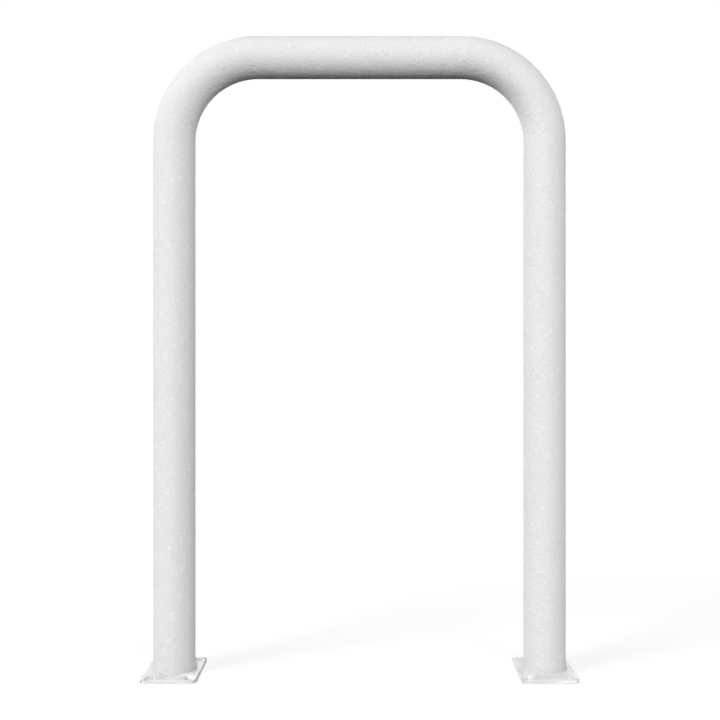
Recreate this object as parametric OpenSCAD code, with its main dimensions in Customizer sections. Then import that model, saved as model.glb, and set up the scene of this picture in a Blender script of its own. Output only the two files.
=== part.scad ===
// Steel hoop barrier: one round tube bent into an inverted U, standing on two
// rectangular base plates, each held by a fillet weld that runs all round the tube.
// Millimetres. The origin is on the ground midway between the legs, +Z up,
// +X along the crown bar and +Y through the hoop.

/* [Hoop] */
// Overall width, outside of one leg to outside of the other
hoop_w = 750; // [600:5:1500]
// Height of the crown above the top face of the base plates
hoop_h = 1150; // [500:5:1300]
// Radius of the two bends, measured to the centreline of the tube
bend_r = 152; // [115:1:250]

/* [Tube] */
// Outside diameter of the tube
tube_d = 76.1; // [60.3:0.1:88.9]
// Wall thickness of the tube
tube_wall = 3.2; // [2:0.1:5]

/* [Base plates] */
// Width of a base plate, along the crown bar
plate_w = 100; // [99:1:160]
// Length of a base plate, across the crown bar
plate_l = 150; // [130:1:240]
// Thickness of a base plate
plate_t = 6; // [4:0.5:15]
// Radius of the plate's four corners
plate_corner_r = 10; // [3:0.5:15]
// Chamfer that breaks the plate's upper edge, so that the coating holds on it
plate_edge_break = 0.6; // [0.2:0.1:2]

/* [Holes] */
// Diameter of the four anchor holes in each plate
anchor_d = 16; // [9:0.5:18]
// Distance from an anchor hole's centre to each of the two nearest plate edges
anchor_edge = 15; // [12:0.5:20]
// Diameter of the vent and drain hole in the middle of each plate, inside the tube
vent_d = 20; // [8:1:40]

/* [Weld] */
// Leg length of the fillet weld, up the tube and along the plate
weld_leg = 3; // [2:0.5:5]
// How far the weld face stands proud of a straight line between its two toes
weld_crown = 0.4; // [0.2:0.1:0.6]

/* [Hidden] */
// Fineness of the round faces when they are drawn
$fn = 96;
// How far a cutting tool runs past the face that it cuts
overrun = 1;
// Inside diameter of the tube
bore_d = tube_d - 2 * tube_wall;
// Distance of a leg's centreline from the middle of the hoop
leg_x = (hoop_w - tube_d) / 2;
// Height of the crown bar's centreline above the ground
crown_z = plate_t + hoop_h - tube_d / 2;
// Centre of a bend, which is also where the straight runs end
bend_x = leg_x - bend_r;
bend_z = crown_z - bend_r;
// Centres of the plate's corner rounds, from the middle of the plate
corner_x = plate_w / 2 - plate_corner_r;
corner_y = plate_l / 2 - plate_corner_r;
// Anchor hole positions, from the middle of the plate
anchor_x = plate_w / 2 - anchor_edge;
anchor_y = plate_l / 2 - anchor_edge;
// The weld face is an arc through both toes. Half the chord between the toes, the
// arc's radius for the stated crown, and how far its centre lies behind the root.
weld_half_chord = weld_leg / sqrt(2);
weld_face_r = (pow(weld_half_chord, 2) + pow(weld_crown, 2)) / (2 * weld_crown);
weld_back = (weld_face_r - weld_crown) / sqrt(2) - weld_leg / 2;

LEFT = -1;
RIGHT = 1;

// Cross-section of the tube's wall
module tube_section() {
    difference() {
        circle(d = tube_d);
        circle(d = bore_d);
    }
}

// Straight leg, cut square and standing on its plate
module leg(side) {
    translate([side * leg_x, 0, plate_t])
        linear_extrude(bend_z - plate_t)
            tube_section();
}

// Quarter bend between a leg and the crown bar
module bend(side) {
    translate([side * bend_x, 0, bend_z])
        mirror([side == LEFT ? 1 : 0, 0, 0])
            rotate([90, 0, 0])
                rotate_extrude(angle = 90)
                    translate([bend_r, 0])
                        tube_section();
}

// Straight bar between the two bends
module crown_bar() {
    translate([-bend_x, 0, crown_z])
        rotate([0, 90, 0])
            linear_extrude(2 * bend_x)
                tube_section();
}

// The whole hoop is one length of tube, bent twice
module hoop_tube() {
    color("whitesmoke") {
        leg(LEFT);
        bend(LEFT);
        crown_bar();
        bend(RIGHT);
        leg(RIGHT);
    }
}

// Puts its children at the four combinations of plus and minus x and y
module at_four_corners(x, y) {
    for (i = [-1, 1], j = [-1, 1])
        translate([i * x, j * y, 0])
            children();
}

// Outline of the plate, with true round corners
module plate_outline() {
    square([2 * corner_x, plate_l], center = true);
    square([plate_w, 2 * corner_y], center = true);
    at_four_corners(corner_x, corner_y)
        circle(r = plate_corner_r);
}

// Section of the chamfered top layer, for a plate of the given width
module edge_break_section(w) {
    polygon([
        [-w / 2, 0],
        [w / 2, 0],
        [w / 2 - plate_edge_break, plate_edge_break],
        [-w / 2 + plate_edge_break, plate_edge_break]
    ]);
}

// Solid plate without its holes: a straight-sided layer under a chamfered one,
// whose corners are short cones of the same radius as the corners below
module plate_blank() {
    shoulder_z = plate_t - plate_edge_break;
    linear_extrude(shoulder_z)
        plate_outline();
    translate([0, 0, shoulder_z]) {
        rotate([90, 0, 0])
            linear_extrude(2 * corner_y, center = true)
                edge_break_section(plate_w);
        rotate([90, 0, 90])
            linear_extrude(2 * corner_x, center = true)
                edge_break_section(plate_l);
        at_four_corners(corner_x, corner_y)
            cylinder(
                r1 = plate_corner_r,
                r2 = plate_corner_r - plate_edge_break,
                h = plate_edge_break
            );
    }
}

// Hole right through the plate
module through_hole(d) {
    translate([0, 0, -overrun])
        cylinder(d = d, h = plate_t + 2 * overrun);
}

// Base plate with its four anchor holes and the vent hole under the tube
module base_plate(side) {
    color("gainsboro")
        translate([side * leg_x, 0, 0])
            difference() {
                plate_blank();
                at_four_corners(anchor_x, anchor_y)
                    through_hole(anchor_d);
                through_hole(vent_d);
            }
}

// Section of the weld bead, with its root in the corner at the origin
module weld_section() {
    intersection() {
        square(weld_leg + overrun);
        translate([-weld_back, -weld_back])
            circle(r = weld_face_r);
    }
}

// Fillet weld all round the foot of a leg
module base_weld(side) {
    color("lightgray")
        translate([side * leg_x, 0, plate_t])
            rotate_extrude()
                translate([tube_d / 2, 0])
                    weld_section();
}

hoop_tube();
base_plate(LEFT);  // left_base_plate
base_plate(RIGHT);  // right_base_plate
base_weld(LEFT);  // left_base_weld
base_weld(RIGHT);  // right_base_weld
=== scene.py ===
"""Steel hoop barrier: the finish of a white powder coated tube hoop on two drilled plates.

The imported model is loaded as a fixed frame. Each of its five nodes is rebuilt here with
finer faces, in metres and in the same frame, and is dressed as powder coated steel.
"""

import logging
import math
from dataclasses import dataclass
from enum import Enum
from typing import Any

import bpy
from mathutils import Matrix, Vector


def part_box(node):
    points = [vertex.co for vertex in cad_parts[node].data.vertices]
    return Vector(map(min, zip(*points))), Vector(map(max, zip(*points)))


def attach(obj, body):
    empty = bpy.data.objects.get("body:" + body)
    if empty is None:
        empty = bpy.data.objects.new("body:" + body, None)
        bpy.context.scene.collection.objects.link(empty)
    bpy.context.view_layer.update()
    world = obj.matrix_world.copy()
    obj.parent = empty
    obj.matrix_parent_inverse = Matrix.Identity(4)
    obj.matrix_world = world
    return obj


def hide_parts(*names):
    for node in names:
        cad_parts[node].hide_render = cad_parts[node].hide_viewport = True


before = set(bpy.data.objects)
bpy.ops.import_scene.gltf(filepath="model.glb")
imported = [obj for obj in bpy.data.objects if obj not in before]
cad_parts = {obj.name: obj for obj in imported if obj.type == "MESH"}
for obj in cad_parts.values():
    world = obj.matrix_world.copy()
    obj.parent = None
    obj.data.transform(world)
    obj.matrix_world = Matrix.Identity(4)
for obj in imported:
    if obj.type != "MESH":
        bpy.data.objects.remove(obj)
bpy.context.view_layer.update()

BODY = "root"
TUBE_DIAMETER = 0.0761
# Joins the rims of neighbouring faces, in metres, and is far below any edge of the hoop
MERGE_DISTANCE = 0.000002
# Two faces that meet at a sharper angle than this, in degrees, keep a crisp edge
CORNER_ANGLE = 40.0
# Where a Mix node for colours has its two colours and its result
MIX_A, MIX_B, MIX_RESULT = 6, 7, 2
# Where a Mix node for numbers, or a Compare node for whole numbers, has its two inputs
NUMBER_A, NUMBER_B = 2, 3
# The level that a noise swings about
NOISE_MIDDLE = 0.5
# Kinds of node that recur, each with its settings
PRODUCT = ("ShaderNodeMath", {"operation": "MULTIPLY"})
SUM = ("ShaderNodeMath", {"operation": "ADD"})
POINT = ("ShaderNodeCombineXYZ", None)
SMOOTH_RANGE = ("ShaderNodeMapRange", {"interpolation_type": "SMOOTHSTEP"})
COLOUR_MIX = ("ShaderNodeMix", {"data_type": "RGBA"})
log = logging.getLogger("hoop_barrier")


# Helpers for units, colours and nodes


def mm(value: float) -> float:
    """Returns a size given in millimetres as metres."""
    return value / 1000


def per_mm(pitch: float) -> float:
    """Returns the texture scale whose pattern repeats about every pitch millimetres."""
    return 1 / mm(pitch)


def linear(hex_code: str) -> tuple[float, float, float, float]:
    """Turns an sRGB colour into the linear one that shaders take.

    Args:
        hex_code: Six hex digits, red first.

    Returns:
        Linear red, green and blue, and an alpha of one.
    """
    channels = [int(hex_code[i:i + 2], 16) / 255 for i in (0, 2, 4)]
    red, green, blue = (
        c / 12.92 if c <= 0.04045 else ((c + 0.055) / 1.055) ** 2.4 for c in channels
    )
    return red, green, blue, 1.0


def grey(share: float) -> tuple[float, float, float, float]:
    """Returns the linear grey that sends back a share of the light."""
    return share, share, share, 1.0


def add_node(
    tree: bpy.types.NodeTree,
    kind: str,
    settings: dict[str, Any] | None = None,
    inputs: dict[str | int, Any] | None = None,
) -> bpy.types.Node:
    """Adds one node to a tree, with its settings and its inputs.

    Args:
        tree: The shader or geometry tree.
        kind: Blender's name for the kind of node.
        settings: Attributes of the node, by name.
        inputs: What each input takes, by the input's name or number: a value, an output
            socket, a node whose first output is meant, or a list of those.

    Returns:
        The new node.
    """
    node = tree.nodes.new(kind)
    for name, value in (settings or {}).items():
        setattr(node, name, value)
    for key, value in (inputs or {}).items():
        for source in value if isinstance(value, list) else [value]:
            if isinstance(source, bpy.types.Node):
                source = source.outputs[0]
            if isinstance(source, bpy.types.NodeSocket):
                tree.links.new(source, node.inputs[key])
            else:
                node.inputs[key].default_value = source
    return node


# Finishes


@dataclass(frozen=True)
class PowderCoat:
    """Polyester powder coat, sprayed on dry and cured in an oven.

    It gives the eye a soft matt white with no sharp reflection, a fine orange peel that shows
    where light grazes it, and here and there a raised nib or a faint scuff. The peel's hollows
    are painted darker and its hills lighter, a painted shade and light, and each scuff carries a
    painted highlight. Real orange peel repeats every 1 to 3 mm and is a few hundredths of a
    millimetre deep, which is too fine for the render. It is drawn coarser and deeper, until it
    just shows.

    Attributes:
        name: The material's name.
        painted_shade_hollow_colour: The darker colour in the hollows of the peel, a painted
            shade.
        painted_light_hill_colour: The lighter colour on the hills of the peel, a painted light.
        nib_colour_and_scuff_highlight: The colour of a nib, also laid along a scuff as a painted
            highlight.
        roughness: How widely the coat's sheen spreads.
        specular: How strong the sheen is.
        peel_pitch: From one hill of the peel to the next, in millimetres.
        peel_height: The peel's depth, in millimetres.
        swell_pitch: From one slow swell under the peel to the next, in millimetres.
        swell_height: The swell's depth, in millimetres.
        peel_detail: How ragged the peel, the swell and the patches of scuffs are.
        nib_spacing: From one nib to the next, in millimetres.
        nib_radius: A nib's radius, in millimetres.
        nib_top: The share of a nib's radius that its flat top takes.
        nib_height: How far a nib stands out, in millimetres.
        scuff_pitch: From one scuff to the next, in millimetres.
        scuff_width: A scuff's width, as a share of its pitch.
        scuff_height: A scuff's depth, in millimetres.
        scuff_detail: How ragged a scuff's line is.
        scuff_highlight_share: How far a scuff takes on the nib's colour, as a painted highlight.
        scuff_patch: From one patch of scuffs to the next, in millimetres.
        patch_edge: The noise levels at which a patch starts and at which it is full.
    """

    name: str = "white_powder_coat"
    painted_shade_hollow_colour: str = "E9E9E9"
    painted_light_hill_colour: str = "F8F8F8"
    nib_colour_and_scuff_highlight: str = "FCFCFC"
    roughness: float = 0.7
    specular: float = 0.1
    peel_pitch: float = 4.5
    peel_height: float = 1.7
    swell_pitch: float = 14.0
    swell_height: float = 0.05
    peel_detail: float = 1.0
    nib_spacing: float = 18.0
    nib_radius: float = 3.4
    nib_top: float = 0.3
    nib_height: float = 0.2
    scuff_pitch: float = 17.0
    scuff_width: float = 0.035
    scuff_height: float = 0.2
    scuff_detail: float = 0.0
    scuff_highlight_share: float = 0.4
    scuff_patch: float = 24.0
    patch_edge: tuple[float, float] = (0.54, 0.62)

    def material(self) -> bpy.types.Material:
        """Builds the material on Object coordinates.

        Returns:
            The new material.
        """
        material = bpy.data.materials.new(self.name)
        material.use_nodes = True
        tree = material.node_tree
        tree.nodes.clear()
        place = add_node(tree, "ShaderNodeTexCoord").outputs["Object"]
        peel, swell = (
            add_node(tree, "ShaderNodeTexNoise", None, {
                "Vector": place,
                "Scale": per_mm(pitch),
                "Detail": self.peel_detail,
            }).outputs["Fac"]
            for pitch in (self.peel_pitch, self.swell_pitch)
        )
        nibs = self._nibs(tree, place)
        scuffs = self._scuffs(tree, place)
        # Painted shade in the peel's hollows and painted light on its hills, on the bump's own
        # noise
        colour = add_node(tree, *COLOUR_MIX, {
            "Factor": peel,
            MIX_A: linear(self.painted_shade_hollow_colour),
            MIX_B: linear(self.painted_light_hill_colour),
        })
        spotted = add_node(tree, *COLOUR_MIX, {
            "Factor": nibs,
            MIX_A: colour.outputs[MIX_RESULT],
            MIX_B: linear(self.nib_colour_and_scuff_highlight),
        })
        # A painted highlight along each scuff, in the nib's lighter colour
        scuff_highlighted = add_node(tree, *COLOUR_MIX, {
            "Factor": add_node(tree, *PRODUCT, {
                0: scuffs,
                1: self.scuff_highlight_share,
            }),
            MIX_A: spotted.outputs[MIX_RESULT],
            MIX_B: linear(self.nib_colour_and_scuff_highlight),
        })
        normal = None
        for height, depth in (
            (swell, self.swell_height),
            (peel, self.peel_height),
            (nibs, self.nib_height),
            (scuffs, -self.scuff_height),
        ):
            bump = add_node(tree, "ShaderNodeBump", {"invert": depth < 0}, {
                "Height": height,
                "Distance": mm(abs(depth)),
                "Strength": 1.0,
            })
            if normal is not None:
                tree.links.new(normal, bump.inputs["Normal"])
            normal = bump.outputs["Normal"]
        shader = add_node(tree, "ShaderNodeBsdfPrincipled", None, {
            "Base Color": scuff_highlighted.outputs[MIX_RESULT],
            "Roughness": self.roughness,
            "Specular IOR Level": self.specular,
            "Normal": normal,
        })
        add_node(tree, "ShaderNodeOutputMaterial", None, {"Surface": shader})
        return material

    def _nibs(
        self, tree: bpy.types.NodeTree, place: bpy.types.NodeSocket
    ) -> bpy.types.NodeSocket:
        """Adds the scattered raised nibs.

        Args:
            tree: The material's tree.
            place: The Object coordinates.

        Returns:
            A mask that is one on a nib.
        """
        cells = add_node(tree, "ShaderNodeTexVoronoi", None, {
            "Vector": place,
            "Scale": per_mm(self.nib_spacing),
        })
        reach = self.nib_radius / self.nib_spacing
        return add_node(tree, *SMOOTH_RANGE, {
            "Value": cells.outputs["Distance"],
            "From Min": reach,
            "From Max": reach * self.nib_top,
        }).outputs[0]

    def _scuffs(
        self, tree: bpy.types.NodeTree, place: bpy.types.NodeSocket
    ) -> bpy.types.NodeSocket:
        """Adds a few hair thin curved scuffs, gathered in patches.

        Args:
            tree: The material's tree.
            place: The Object coordinates.

        Returns:
            A mask that is one along the middle of a scuff.
        """
        field, patches = (
            add_node(tree, "ShaderNodeTexNoise", None, {
                "Vector": place,
                "Scale": per_mm(pitch),
                "Detail": detail,
            }).outputs["Fac"]
            for pitch, detail in (
                (self.scuff_pitch, self.scuff_detail),
                (self.scuff_patch, self.peel_detail),
            )
        )
        off_line = add_node(tree, "ShaderNodeMath", {"operation": "SUBTRACT"}, {
            0: field,
            1: NOISE_MIDDLE,
        })
        distance = add_node(tree, "ShaderNodeMath", {"operation": "ABSOLUTE"}, {0: off_line})
        line = add_node(tree, *SMOOTH_RANGE, {
            "Value": distance,
            "From Min": self.scuff_width,
            "From Max": 0.0,
        })
        patch = add_node(tree, *SMOOTH_RANGE, {
            "Value": patches,
            "From Min": self.patch_edge[0],
            "From Max": self.patch_edge[1],
        })
        return add_node(tree, *PRODUCT, {
            0: line,
            1: patch,
        }).outputs[0]


@dataclass(frozen=True)
class MillScale:
    """Hot formed mild steel as it leaves the tube mill, which the sprayed powder can't reach.

    It gives the eye a dull blue grey skin with rusty brown clouds inside the tube.

    Attributes:
        name: The material's name.
        scale_colour: The colour of the scale.
        rust_colour: The colour of the rust that has come through it.
        roughness: How widely the scale's sheen spreads.
        metallic: How far the steel shows through the scale.
        cloud_pitch: From one cloud of rust to the next, in millimetres.
        cloud_detail: How ragged the edges of the clouds are.
        cloud_edge: The noise levels at which a cloud starts and at which it is full.
    """

    name: str = "mill_scale_steel"
    scale_colour: str = "4A4B4F"
    rust_colour: str = "6B4A35"
    roughness: float = 0.65
    metallic: float = 0.4
    cloud_pitch: float = 18.0
    cloud_detail: float = 5.0
    cloud_edge: tuple[float, float] = (0.45, 0.65)

    def material(self) -> bpy.types.Material:
        """Builds the material on Object coordinates.

        Returns:
            The new material.
        """
        material = bpy.data.materials.new(self.name)
        material.use_nodes = True
        tree = material.node_tree
        tree.nodes.clear()
        clouds = add_node(tree, "ShaderNodeTexNoise", None, {
            "Vector": add_node(tree, "ShaderNodeTexCoord").outputs["Object"],
            "Scale": per_mm(self.cloud_pitch),
            "Detail": self.cloud_detail,
        })
        share = add_node(tree, "ShaderNodeMapRange", None, {
            "Value": clouds.outputs["Fac"],
            "From Min": self.cloud_edge[0],
            "From Max": self.cloud_edge[1],
        })
        colour = add_node(tree, *COLOUR_MIX, {
            "Factor": share.outputs[0],
            MIX_A: linear(self.scale_colour),
            MIX_B: linear(self.rust_colour),
        })
        shader = add_node(tree, "ShaderNodeBsdfPrincipled", None, {
            "Base Color": colour.outputs[MIX_RESULT],
            "Roughness": self.roughness,
            "Metallic": self.metallic,
        })
        add_node(tree, "ShaderNodeOutputMaterial", None, {"Surface": shader})
        return material


# Geometry trees and the meshes grown from them


class Size(Enum):
    """The kinds of named input that a geometry tree takes."""

    NUMBER = "NodeSocketFloat"
    COUNT = "NodeSocketInt"
    PLACE = "NodeSocketVector"


def geometry_tree(name: str, sizes: dict[str, Size]) -> bpy.types.NodeTree:
    """Starts a geometry tree with named inputs for its sizes.

    Args:
        name: The tree's name.
        sizes: The kind of each input, by name.

    Returns:
        The tree, which holds only its group input.
    """
    tree = bpy.data.node_groups.new(name, "GeometryNodeTree")
    tree.interface.new_socket("Geometry", in_out="OUTPUT", socket_type="NodeSocketGeometry")
    for size_name, kind in sizes.items():
        tree.interface.new_socket(size_name, in_out="INPUT", socket_type=kind.value)
    return tree


def grow(name: str, tree: bpy.types.NodeTree, sizes: dict[str, Any]) -> bpy.types.Object:
    """Runs a geometry tree with the given sizes and keeps its result as a plain mesh.

    Args:
        name: The name of the piece.
        tree: The geometry tree.
        sizes: The value of each of the tree's inputs, by name.

    Returns:
        An object at the origin that holds the mesh and has no modifier.
    """
    piece = bpy.data.objects.new(name, bpy.data.meshes.new(name))
    bpy.context.scene.collection.objects.link(piece)
    modifier = piece.modifiers.new("grow", "NODES")
    modifier.node_group = tree
    for item in tree.interface.items_tree:
        if item.in_out == "INPUT":
            modifier[item.identifier] = sizes[item.name]
    depsgraph = bpy.context.evaluated_depsgraph_get()
    mesh = bpy.data.meshes.new_from_object(piece.evaluated_get(depsgraph), depsgraph=depsgraph)
    mesh.name = name
    piece.modifiers.clear()
    piece.data = mesh
    return piece


def open_path(tree: bpy.types.NodeTree, corners: list[Any]) -> bpy.types.Node:
    """Adds an open path of straight lines.

    Args:
        tree: The geometry tree.
        corners: The path's four corners, in order.

    Returns:
        The path's node.
    """
    loop = add_node(tree, "GeometryNodeCurvePrimitiveQuadrilateral", {"mode": "POINTS"}, {
        f"Point {i + 1}": corner for i, corner in enumerate(corners)
    })
    return add_node(tree, "GeometryNodeSetSplineCyclic", None, {0: loop, "Cyclic": False})


def finish_tree(
    tree: bpy.types.NodeTree, parts: list[tuple[bpy.types.Node, bpy.types.Material]]
) -> None:
    """Ends a tree: joins its parts into one closed mesh whose true corners stay crisp.

    Args:
        tree: The geometry tree.
        parts: The meshes that make the piece, each with its finish.
    """
    dressed = [
        add_node(tree, "GeometryNodeSetMaterial", None, {0: mesh, "Material": finish})
        for mesh, finish in parts
    ]
    joined = add_node(tree, "GeometryNodeJoinGeometry", None, {0: dressed})
    real = add_node(tree, "GeometryNodeRealizeInstances", None, {0: joined})
    closed = add_node(tree, "GeometryNodeMergeByDistance", None, {
        0: real,
        "Distance": MERGE_DISTANCE,
    })
    angle = add_node(tree, "GeometryNodeInputMeshEdgeAngle").outputs["Unsigned Angle"]
    is_corner = add_node(tree, "FunctionNodeCompare", {"operation": "GREATER_THAN"}, {
        0: angle,
        1: math.radians(CORNER_ANGLE),
    })
    crisp = add_node(tree, "GeometryNodeSetShadeSmooth", {"domain": "EDGE"}, {
        0: closed,
        "Selection": is_corner,
        "Shade Smooth": False,
    })
    add_node(tree, "NodeGroupOutput", None, {0: crisp})


# The pieces


class Side(Enum):
    """The two legs, by the sign of their X."""

    LEFT = -1
    RIGHT = 1

    @property
    def label(self) -> str:
        """The side's name in a node's name."""
        return self.name.lower()


@dataclass
class HoopTube:
    """One length of round tube, bent twice into an inverted U and cut square at its feet.

    Attributes:
        coat: The finish outside.
        bare: The finish of the bore and of the cut ends.
        diameter: The tube's outside diameter, in metres.
        wall: The tube's wall, in metres.
        bend_radius: The radius of each bend's centreline, in metres.
        bend_steps: The number of facets along each bend.
        sides: The number of facets round the tube.
    """

    coat: bpy.types.Material
    bare: bpy.types.Material
    diameter: float = TUBE_DIAMETER
    wall: float = mm(3.2)
    bend_radius: float = mm(152)
    bend_steps: int = 64
    sides: int = 96

    def __post_init__(self) -> None:
        """Reads from the frame what its box gives."""
        low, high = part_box("hoop_tube")
        self.radius = self.diameter / 2
        self.leg_x = high.x - self.radius
        self.foot_z = low.z
        self.crown_z = high.z - self.radius

    def build(self) -> bpy.types.Object:
        """Sweeps the tube's outside and its bore along one path and closes its two feet.

        Returns:
            The finished piece.
        """
        tree = geometry_tree("hoop_tube", {
            "Leg spacing": Size.NUMBER,
            "Foot height": Size.NUMBER,
            "Crown height": Size.NUMBER,
            "Bend radius": Size.NUMBER,
            "Outside radius": Size.NUMBER,
            "Bore radius": Size.NUMBER,
            "Bend steps": Size.COUNT,
            "Sides": Size.COUNT,
        })
        size = add_node(tree, "NodeGroupInput").outputs
        left, right = (
            add_node(tree, *PRODUCT, {0: size["Leg spacing"], 1: side.value / 2}) for side in Side
        )
        corners = [
            add_node(tree, *POINT, {0: x, 1: 0.0, 2: size[height]})
            for x, height in (
                (left, "Foot height"),
                (left, "Crown height"),
                (right, "Crown height"),
                (right, "Foot height"),
            )
        ]
        path = add_node(tree, "GeometryNodeFilletCurve", {"mode": "POLY"}, {
            0: open_path(tree, corners),
            "Count": size["Bend steps"],
            "Radius": size["Bend radius"],
        })
        outline, bore = (
            add_node(tree, "GeometryNodeCurvePrimitiveCircle", None, {
                "Resolution": size["Sides"],
                "Radius": size[radius],
            })
            for radius in ("Outside radius", "Bore radius")
        )
        outside, bore_wall = (
            add_node(tree, "GeometryNodeCurveToMesh", None, {
                "Curve": path,
                "Profile Curve": circle,
            })
            for circle in (outline, bore)
        )
        inside = add_node(tree, "GeometryNodeFlipFaces", None, {0: bore_wall})
        ring = add_node(tree, "GeometryNodeFillCurve", None, {
            0: add_node(tree, "GeometryNodeJoinGeometry", None, {0: [outline, bore]})
        })
        # Flat shading keeps the edges crisp where the cut meets the round walls
        cut = add_node(tree, "GeometryNodeSetShadeSmooth", None, {0: ring, "Shade Smooth": False})
        facing_down = add_node(tree, "GeometryNodeFlipFaces", None, {0: cut})
        feet = [
            add_node(tree, "GeometryNodeTransform", None, {
                0: facing_down,
                "Translation": corner,
            })
            for corner in (corners[0], corners[3])
        ]
        finish_tree(tree, [
            (outside, self.coat),
            (inside, self.bare),
            *((foot, self.bare) for foot in feet),
        ])
        return grow("hoop_tube_coated", tree, {
            "Leg spacing": 2 * self.leg_x,
            "Foot height": self.foot_z,
            "Crown height": self.crown_z,
            "Bend radius": self.bend_radius,
            "Outside radius": self.radius,
            "Bore radius": self.radius - self.wall,
            "Bend steps": self.bend_steps,
            "Sides": self.sides,
        })


@dataclass
class BasePlate:
    """Rectangular plate with four anchor holes and a vent hole, its edges eased.

    Attributes:
        side: The leg that the plate carries.
        coat: The finish, which covers the hole walls too.
        corner_radius: The radius of the outline's corners, in metres.
        edge_ease: The radius that the coat gives each edge, in metres.
        anchor_diameter: The diameter of an anchor hole, in metres.
        anchor_edge: From an anchor hole's centre to the two nearest edges, in metres.
        vent_diameter: The diameter of the vent hole, in metres.
        corner_steps: The number of facets round one corner of the outline.
        ease_steps: The number of facets across an eased edge.
        lip: How far the swept edge reaches in over the faces, as a multiple of the ease.
        anchor_sides: The number of facets round an anchor hole.
        vent_sides: The number of facets round the vent hole.
    """

    side: Side
    coat: bpy.types.Material
    corner_radius: float = mm(10)
    edge_ease: float = mm(0.6)
    anchor_diameter: float = mm(16)
    anchor_edge: float = mm(15)
    vent_diameter: float = mm(20)
    corner_steps: int = 12
    ease_steps: int = 4
    lip: float = 1.5
    anchor_sides: int = 48
    vent_sides: int = 64

    def __post_init__(self) -> None:
        """Reads the plate's outline and thickness from the frame."""
        self.node = f"{self.side.label}_base_plate"
        low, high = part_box(self.node)
        self.extent = high - low
        self.top_centre = Vector(((low.x + high.x) / 2, (low.y + high.y) / 2, high.z))

    def build(self) -> bpy.types.Object:
        """Sweeps an eased edge round the outline and each hole, then fills both faces.

        Returns:
            The finished piece.
        """
        tree = geometry_tree(self.node, {
            "Width": Size.NUMBER,
            "Length": Size.NUMBER,
            "Thickness": Size.NUMBER,
            "Corner radius": Size.NUMBER,
            "Edge ease": Size.NUMBER,
            "Anchor radius": Size.NUMBER,
            "Anchor spacing X": Size.NUMBER,
            "Anchor spacing Y": Size.NUMBER,
            "Vent radius": Size.NUMBER,
            "Top centre": Size.PLACE,
        })
        size = add_node(tree, "NodeGroupInput").outputs
        outline = add_node(tree, "GeometryNodeFilletCurve", {"mode": "POLY"}, {
            0: add_node(tree, "GeometryNodeCurvePrimitiveQuadrilateral", None, {
                "Width": size["Width"],
                "Height": size["Length"],
            }),
            "Count": self.corner_steps,
            "Radius": size["Corner radius"],
        })
        anchors = add_node(tree, "GeometryNodeInstanceOnPoints", None, {
            "Points": add_node(tree, "GeometryNodeCurvePrimitiveQuadrilateral", None, {
                "Width": size["Anchor spacing X"],
                "Height": size["Anchor spacing Y"],
            }),
            "Instance": add_node(tree, "GeometryNodeCurvePrimitiveCircle", None, {
                "Resolution": self.anchor_sides,
                "Radius": size["Anchor radius"],
            }),
        })
        vent = add_node(tree, "GeometryNodeCurvePrimitiveCircle", None, {
            "Resolution": self.vent_sides,
            "Radius": size["Vent radius"],
        })
        holes = add_node(tree, "GeometryNodeReverseCurve", None, {
            0: add_node(tree, "GeometryNodeRealizeInstances", None, {
                0: add_node(tree, "GeometryNodeJoinGeometry", None, {0: [anchors, vent]})
            })
        })
        outlines = add_node(tree, "GeometryNodeSetCurveNormal", {"mode": "Z_UP"}, {
            0: add_node(tree, "GeometryNodeJoinGeometry", None, {0: [outline, holes]})
        })
        walls = add_node(tree, "GeometryNodeCurveToMesh", None, {
            "Curve": outlines,
            "Profile Curve": self._edge_section(tree, size),
        })
        finish_tree(tree, [
            (add_node(tree, "GeometryNodeTransform", None, {
                0: mesh,
                "Translation": size["Top centre"],
            }), self.coat)
            for mesh in (walls, *self._faces(tree, walls, size))
        ])
        return grow(f"{self.node}_coated", tree, {
            "Width": self.extent.x,
            "Length": self.extent.y,
            "Thickness": self.extent.z,
            "Corner radius": self.corner_radius,
            "Edge ease": self.edge_ease,
            "Anchor radius": self.anchor_diameter / 2,
            "Anchor spacing X": self.extent.x - 2 * self.anchor_edge,
            "Anchor spacing Y": self.extent.y - 2 * self.anchor_edge,
            "Vent radius": self.vent_diameter / 2,
            "Top centre": self.top_centre,
        })

    def _edge_section(self, tree: bpy.types.NodeTree, size: Any) -> bpy.types.Node:
        """Adds the plate's edge in section, down from its top face, with both corners eased.

        Args:
            tree: The geometry tree.
            size: The tree's named inputs.

        Returns:
            The section, whose two ends reach a little way in over the faces.
        """
        lip = add_node(tree, *PRODUCT, {0: size["Edge ease"], 1: -self.lip})
        return add_node(tree, "GeometryNodeFilletCurve", {"mode": "POLY"}, {
            0: open_path(tree, [
                add_node(tree, *POINT, {0: x, 1: y, 2: 0.0})
                for x, y in (
                    (lip, 0.0),
                    (0.0, 0.0),
                    (0.0, size["Thickness"]),
                    (lip, size["Thickness"]),
                )
            ]),
            "Count": self.ease_steps,
            "Radius": size["Edge ease"],
        })

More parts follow.
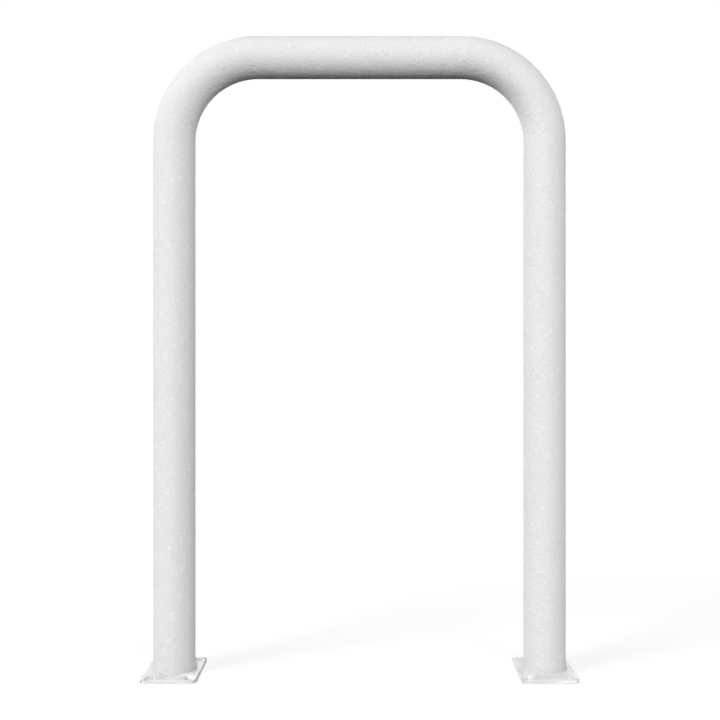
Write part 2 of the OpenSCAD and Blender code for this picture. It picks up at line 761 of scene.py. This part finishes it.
    def _faces(
        self, tree: bpy.types.NodeTree, walls: bpy.types.Node, size: Any
    ) -> list[bpy.types.Node]:
        """Adds the flat top and bottom, which fill the open rims of the walls.

        Args:
            tree: The geometry tree.
            walls: The swept walls, which hang down from z = 0.
            size: The tree's named inputs.

        Returns:
            The top face and the bottom face.
        """
        neighbours = add_node(tree, "GeometryNodeInputMeshEdgeNeighbors")
        is_rim = add_node(tree, "FunctionNodeCompare", {
            "data_type": "INT",
            "operation": "EQUAL",
        }, {NUMBER_A: neighbours, NUMBER_B: 1})
        height = add_node(tree, "ShaderNodeSeparateXYZ", None, {
            0: add_node(tree, "GeometryNodeInputPosition")
        }).outputs["Z"]
        is_high = add_node(tree, "FunctionNodeCompare", {"operation": "GREATER_THAN"}, {
            0: height,
            1: add_node(tree, *PRODUCT, {0: size["Thickness"], 1: -0.5}),
        })
        top_rims = add_node(tree, "GeometryNodeMeshToCurve", None, {
            "Mesh": walls,
            "Selection": add_node(tree, "FunctionNodeBooleanMath", {"operation": "AND"}, {
                0: is_rim,
                1: is_high,
            }),
        })
        filled = add_node(tree, "GeometryNodeFillCurve", None, {0: top_rims})
        top = add_node(tree, "GeometryNodeSetShadeSmooth", None, {
            0: filled,
            "Shade Smooth": False,
        })
        drop = add_node(tree, *PRODUCT, {0: size["Thickness"], 1: -1.0})
        bottom = add_node(tree, "GeometryNodeTransform", None, {
            0: add_node(tree, "GeometryNodeFlipFaces", None, {0: top}),
            "Translation": add_node(tree, *POINT, {0: 0.0, 1: 0.0, 2: drop}),
        })
        return [top, bottom]


@dataclass
class BaseWeld:
    """Fillet weld round the foot of a leg, its ripples softened by the coat.

    Attributes:
        side: The leg that the weld holds.
        coat: The finish.
        crown: How far the weld's face stands proud between its toes, in metres.
        ripple_pitch: From one ripple to the next, in metres.
        ripple: How much a ripple swells the section, as a share.
        wander: How much the section swells and shrinks along the run, as a share.
        wander_pitch: From one such swelling to the next, in millimetres.
        face_points: The number of points across the bead's bowed face.
        points_per_ripple: The number of facets along one ripple.
        seed: Sets the run's own wander.
    """

    side: Side
    coat: bpy.types.Material
    crown: float = mm(0.4)
    ripple_pitch: float = mm(2.6)
    ripple: float = 0.05
    wander: float = 0.10
    wander_pitch: float = 20.0
    face_points: int = 9
    points_per_ripple: int = 6
    seed: float = 3.0

    def __post_init__(self) -> None:
        """Reads the weld's ring and legs from the frame."""
        self.node = f"{self.side.label}_base_weld"
        low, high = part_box(self.node)
        self.leg = high.z - low.z
        self.centre = Vector(((low.x + high.x) / 2, 0.0, low.z))

    def build(self) -> bpy.types.Object:
        """Sweeps the fillet's section round the tube, rippling as it goes.

        Returns:
            The finished piece.
        """
        tree = geometry_tree(self.node, {
            "Ring radius": Size.NUMBER,
            "Leg": Size.NUMBER,
            "Crown": Size.NUMBER,
            "Ripples": Size.COUNT,
            "Points": Size.COUNT,
            "Ripple": Size.NUMBER,
            "Wander": Size.NUMBER,
            "Wander scale": Size.NUMBER,
            "Seed": Size.NUMBER,
            "Centre": Size.PLACE,
        })
        size = add_node(tree, "NodeGroupInput").outputs
        ring = add_node(tree, "GeometryNodeSetCurveNormal", {"mode": "Z_UP"}, {
            0: add_node(tree, "GeometryNodeCurvePrimitiveCircle", None, {
                "Resolution": size["Points"],
                "Radius": size["Ring radius"],
            })
        })
        bead = add_node(tree, "GeometryNodeCurveToMesh", None, {
            "Curve": add_node(tree, "GeometryNodeSetCurveRadius", None, {
                0: ring,
                "Radius": self._swell(tree, size),
            }),
            "Profile Curve": self._section(tree, size),
        })
        placed = add_node(tree, "GeometryNodeTransform", None, {
            0: bead,
            "Translation": size["Centre"],
        })
        finish_tree(tree, [(placed, self.coat)])
        ripples = round(math.pi * TUBE_DIAMETER / self.ripple_pitch)
        return grow(f"{self.node}_coated", tree, {
            "Ring radius": TUBE_DIAMETER / 2,
            "Leg": self.leg,
            "Crown": self.crown,
            "Ripples": ripples,
            "Points": ripples * self.points_per_ripple,
            "Ripple": self.ripple,
            "Wander": self.wander,
            "Wander scale": per_mm(self.wander_pitch),
            "Seed": self.seed + self.side.value,
            "Centre": self.centre,
        })

    def _swell(self, tree: bpy.types.NodeTree, size: Any) -> bpy.types.Node:
        """Adds the section's size along the run: a ripple and a slow wander round one.

        Args:
            tree: The geometry tree.
            size: The tree's named inputs.

        Returns:
            The node that gives the section's size.
        """
        parameter = add_node(tree, "GeometryNodeSplineParameter").outputs["Factor"]
        turns = add_node(tree, *PRODUCT, {0: parameter, 1: size["Ripples"]})
        wave = add_node(tree, "ShaderNodeMath", {"operation": "SINE"}, {
            0: add_node(tree, *PRODUCT, {0: turns, 1: 2 * math.pi})
        })
        drift = add_node(tree, "ShaderNodeTexNoise", {"noise_dimensions": "4D"}, {
            "Vector": add_node(tree, "GeometryNodeInputPosition"),
            "W": size["Seed"],
            "Scale": size["Wander scale"],
        })
        centred = add_node(tree, "ShaderNodeMath", {"operation": "SUBTRACT"}, {
            0: drift.outputs["Fac"],
            1: NOISE_MIDDLE,
        })
        half_ripple = add_node(tree, *PRODUCT, {0: size["Ripple"], 1: 0.5})
        both = add_node(tree, *SUM, {
            0: add_node(tree, *PRODUCT, {0: wave, 1: half_ripple}),
            1: add_node(tree, *PRODUCT, {0: centred, 1: size["Wander"]}),
        })
        return add_node(tree, *SUM, {0: both, 1: 1.0})

    def _section(self, tree: bpy.types.NodeTree, size: Any) -> bpy.types.Node:
        """Adds the bead in section: a bowed face between two toes, and its two legs.

        Args:
            tree: The geometry tree.
            size: The tree's named inputs.

        Returns:
            The section's node.
        """
        up = add_node(tree, *PRODUCT, {0: size["Leg"], 1: -1.0})
        root, toe_out, toe_up = (
            add_node(tree, *POINT, {0: x, 1: y, 2: 0.0})
            for x, y in ((0.0, 0.0), (size["Leg"], 0.0), (0.0, up))
        )
        # The middle of the slanted face, pushed out at 45 degrees by the crown
        middle = add_node(tree, *SUM, {
            0: add_node(tree, *PRODUCT, {0: size["Leg"], 1: 0.5}),
            1: add_node(tree, *PRODUCT, {0: size["Crown"], 1: math.sqrt(0.5)}),
        })
        middle_up = add_node(tree, *PRODUCT, {0: middle, 1: -1.0})
        face = add_node(tree, "GeometryNodeCurveArc", {"mode": "POINTS"}, {
            "Resolution": self.face_points,
            "Start": toe_up,
            "Middle": add_node(tree, *POINT, {0: middle, 1: middle_up, 2: 0.0}),
            "End": toe_out,
        })
        legs = [
            add_node(tree, "GeometryNodeCurvePrimitiveLine", None, {"Start": a, "End": b})
            for a, b in ((toe_out, root), (root, toe_up))
        ]
        return add_node(tree, "GeometryNodeJoinGeometry", None, {0: [face, *legs]})


# The studio


class Lit(Enum):
    """What a lamp can light."""

    TUBE = "tube"
    WELDS = "welds"
    PLATES = "plates"
    FLOOR = "floor"


UPRIGHT = (Lit.TUBE, Lit.WELDS)
FLAT = (Lit.PLATES, Lit.FLOOR)


@dataclass(frozen=True)
class Lamp:
    """A distant lamp, given by where it stands as seen from the hoop.

    Attributes:
        name: What the lamp does.
        azimuth: Degrees from the camera's side, positive to the right.
        elevation: Degrees above the ground.
        level: How bright it alone makes a white face turned to it.
        softness: The lamp's apparent width, in degrees.
        lights: What the lamp lights.
    """

    name: str
    azimuth: float
    elevation: float
    level: float
    softness: float
    lights: tuple[Lit, ...]

    def build(self, things: dict[Lit, list[bpy.types.Object]]) -> None:
        """Adds the lamp. All things shade it, but the floor doesn't if it shines from below.

        Args:
            things: The pieces and the floor, by kind.
        """
        data = bpy.data.lights.new(self.name, "SUN")
        # A sun of strength pi makes a white face turned to it exactly white
        data.energy = self.level * math.pi
        data.angle = math.radians(self.softness)
        lamp = bpy.data.objects.new(self.name, data)
        azimuth, elevation = math.radians(self.azimuth), math.radians(self.elevation)
        towards = Vector((
            math.sin(azimuth) * math.cos(elevation),
            -math.cos(azimuth) * math.cos(elevation),
            math.sin(elevation),
        ))
        lamp.rotation_euler = towards.to_track_quat("Z", "Y").to_euler()
        bpy.context.scene.collection.objects.link(lamp)
        linking = lamp.light_linking
        linking.receiver_collection = self._group("lit", things, self.lights)
        if self.elevation < 0:
            hoop = tuple(kind for kind in Lit if kind is not Lit.FLOOR)
            linking.blocker_collection = self._group("shading", things, hoop)

    def _group(
        self, role: str, things: dict[Lit, list[bpy.types.Object]], kinds: tuple[Lit, ...]
    ) -> bpy.types.Collection:
        """Makes a collection of things, for the lamp to refer to.

        Args:
            role: What the collection is for.
            things: The pieces and the floor, by kind.
            kinds: The kinds that the collection takes.

        Returns:
            The collection.
        """
        group = bpy.data.collections.new(f"{self.name}_{role}")
        for kind in kinds:
            for thing in things[kind]:
                group.objects.link(thing)
        return group


@dataclass(frozen=True)
class Studio:
    """A white surround, a white floor that keeps a faint shadow, and soft lamps.

    In the photograph the upright tube is lit more evenly than the flat plates, on which one
    lamp throws a crisp shadow, so each has lamps of its own.

    Attributes:
        lamps: The lamps. The two that stand below the ground are light off the pale floor: on
            the tube from the right, and on the plates into their holes.
        ambient: The light that comes evenly from the surround.
        floor_bounce: The share of light that the floor sends back up to the tube.
        shadow_share: How strongly the hoop's shadow shows on the white floor.
        floor_lit: How bright the lamps make a white floor.
        floor_half: Half the floor's width, in metres.
        floor_drop: How far the floor lies below the plates, in metres.
    """

    lamps: tuple[Lamp, ...] = (
        Lamp("tube_left", -70, 13, 0.53, 40, UPRIGHT),
        Lamp("tube_front_left", -30, 5, 0.36, 40, UPRIGHT),
        Lamp("tube_front_right", 30, 13, 0.665, 40, UPRIGHT),
        Lamp("tube_right", 90, -20, 0.035, 40, UPRIGHT),
        Lamp("tube_back_left", -120, 20, 0.31, 40, UPRIGHT),
        Lamp("tube_back", 176, 8, 0.34, 40, UPRIGHT),
        Lamp("tube_rim", 140, 62, 0.14, 30, (Lit.TUBE,)),
        Lamp("ground_key", -50, 48, 0.915, 18, FLAT),
        Lamp("ground_fill", 23, 27, 0.285, 30, FLAT),
        Lamp("ground_back", 180, 1, 0.34, 10, (Lit.PLATES,)),
        Lamp("ground_glow", 0, -90, 0.94, 120, (Lit.PLATES,)),
    )
    ambient: float = 0.02
    floor_bounce: float = 0.06
    shadow_share: float = 0.12
    floor_lit: float = 0.8
    floor_half: float = 40.0
    floor_drop: float = mm(0.2)

    def build(self, things: dict[Lit, list[bpy.types.Object]]) -> None:
        """Adds the surround, the floor and the lamps.

        Args:
            things: The pieces of the hoop, by kind.
        """
        self._surround()
        things = things | {Lit.FLOOR: [self._floor()]}
        for lamp in self.lamps:
            lamp.build(things)

    def _seen(self, tree: bpy.types.NodeTree) -> bpy.types.Node:
        """Adds a switch that is one for a ray that the camera, a gloss or a glass sends.

        Args:
            tree: The tree of the world or of the floor.

        Returns:
            The switch's node.
        """
        path = add_node(tree, "ShaderNodeLightPath").outputs
        direct = add_node(tree, "ShaderNodeMath", {"operation": "ADD", "use_clamp": True}, {
            0: path["Is Camera Ray"],
            1: path["Is Glossy Ray"],
        })
        return add_node(tree, "ShaderNodeMath", {"operation": "ADD", "use_clamp": True}, {
            0: direct,
            1: path["Is Transmission Ray"],
        })

    def _surround(self) -> None:
        """Makes the world white to the eye, and dim as a source of light."""
        world = bpy.data.worlds.new("surround")
        bpy.context.scene.world = world
        world.use_nodes = True
        tree = world.node_tree
        tree.nodes.clear()
        level = add_node(tree, "ShaderNodeMix", None, {
            0: self._seen(tree),
            NUMBER_A: self.ambient,
            NUMBER_B: 1.0,
        })
        background = add_node(tree, "ShaderNodeBackground", None, {
            "Color": linear("FFFFFF"),
            "Strength": level,
        })
        add_node(tree, "ShaderNodeOutputWorld", None, {"Surface": background})

    def _floor(self) -> bpy.types.Object:
        """Adds the floor, which is open to a camera that looks up from below it.

        Returns:
            The floor.
        """
        half, z = self.floor_half, -self.floor_drop
        mesh = bpy.data.meshes.new("floor")
        mesh.from_pydata(
            [(-half, -half, z), (half, -half, z), (half, half, z), (-half, half, z)],
            [],
            [(0, 1, 2, 3)],
        )
        floor = bpy.data.objects.new("floor", mesh)
        bpy.context.scene.collection.objects.link(floor)
        mesh.materials.append(self._floor_paint())
        return floor

    def _floor_paint(self) -> bpy.types.Material:
        """Builds the floor's white, of which a share is lit and so can hold a shadow.

        Returns:
            The new material.
        """
        material = bpy.data.materials.new("studio_floor_white")
        material.use_nodes = True
        tree = material.node_tree
        tree.nodes.clear()
        bounce = add_node(tree, "ShaderNodeBsdfDiffuse", None, {"Color": grey(self.floor_bounce)})
        lit = add_node(tree, "ShaderNodeBsdfDiffuse", None, {"Color": grey(self.shadow_share)})
        glow = add_node(tree, "ShaderNodeEmission", None, {
            "Strength": 1.0 - self.shadow_share * self.floor_lit
        })
        seen = add_node(tree, "ShaderNodeAddShader", None, {0: lit, 1: glow})
        upper = add_node(tree, "ShaderNodeMixShader", None, {
            0: self._seen(tree),
            1: bounce,
            2: seen,
        })
        surface = add_node(tree, "ShaderNodeMixShader", None, {
            0: add_node(tree, "ShaderNodeNewGeometry").outputs["Backfacing"],
            1: upper,
            2: add_node(tree, "ShaderNodeBsdfTransparent"),
        })
        add_node(tree, "ShaderNodeOutputMaterial", None, {"Surface": surface})
        return material


@dataclass(frozen=True)
class FrontCamera:
    """A level camera in front of the hoop, placed as in the photograph.

    Attributes:
        distance: From the lens to the hoop's own plane, in metres.
        height: The lens's height above the ground, in metres.
        focal_px: The focal length, in pixels of the photograph.
        frame_px: The photograph's width and height, in pixels.
        axis_px: The column on which the hoop's middle falls.
        horizon_px: The row on which the horizon falls.
    """

    distance: float = 2.052
    height: float = 0.587
    focal_px: float = 1126.8
    frame_px: float = 720.0
    axis_px: float = 359.42
    horizon_px: float = 349.3

    def build(self) -> None:
        """Adds the camera and makes it the scene's own."""
        data = bpy.data.cameras.new("front_camera")
        data.lens = data.sensor_width * self.focal_px / self.frame_px
        middle = self.frame_px / 2
        data.shift_x = (middle - self.axis_px) / self.frame_px
        data.shift_y = (self.horizon_px - middle) / self.frame_px
        camera = bpy.data.objects.new("front_camera", data)
        camera.location = (0.0, -self.distance, self.height)
        camera.rotation_euler = (math.radians(90), 0.0, 0.0)
        bpy.context.scene.collection.objects.link(camera)
        bpy.context.scene.camera = camera


# Building the whole


def place(piece: bpy.types.Object, node: str) -> bpy.types.Object:
    """Lets a piece ride on the hoop's one body in the place of a node, and reports it.

    The piece sends no diffuse light on to its neighbours, because the photograph shows the
    legs evenly bright right down to their plates.

    Args:
        piece: The finished piece.
        node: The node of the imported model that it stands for.

    Returns:
        The piece.
    """
    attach(piece, BODY)
    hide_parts(node)
    piece.visible_diffuse = False
    log.info("%s stands for %s with %d faces", piece.name, node, len(piece.data.polygons))
    return piece


def main() -> None:
    """Builds the hoop barrier and its studio."""
    logging.basicConfig(level=logging.INFO, format="%(name)s: %(message)s")
    bpy.context.scene.view_settings.view_transform = "Standard"
    FrontCamera().build()
    coat = PowderCoat().material()
    # On a flat plate the melted powder levels out further than on the tube
    level_coat = PowderCoat("white_powder_coat_on_plates", peel_height=1.0).material()
    things = {
        Lit.TUBE: [place(HoopTube(coat, MillScale().material()).build(), "hoop_tube")],
        Lit.WELDS: [],
        Lit.PLATES: [],
    }
    for side in Side:
        plate, weld = BasePlate(side, level_coat), BaseWeld(side, level_coat)
        things[Lit.PLATES].append(place(plate.build(), plate.node))
        things[Lit.WELDS].append(place(weld.build(), weld.node))
    Studio().build(things)


if __name__ == "__main__":
    main()
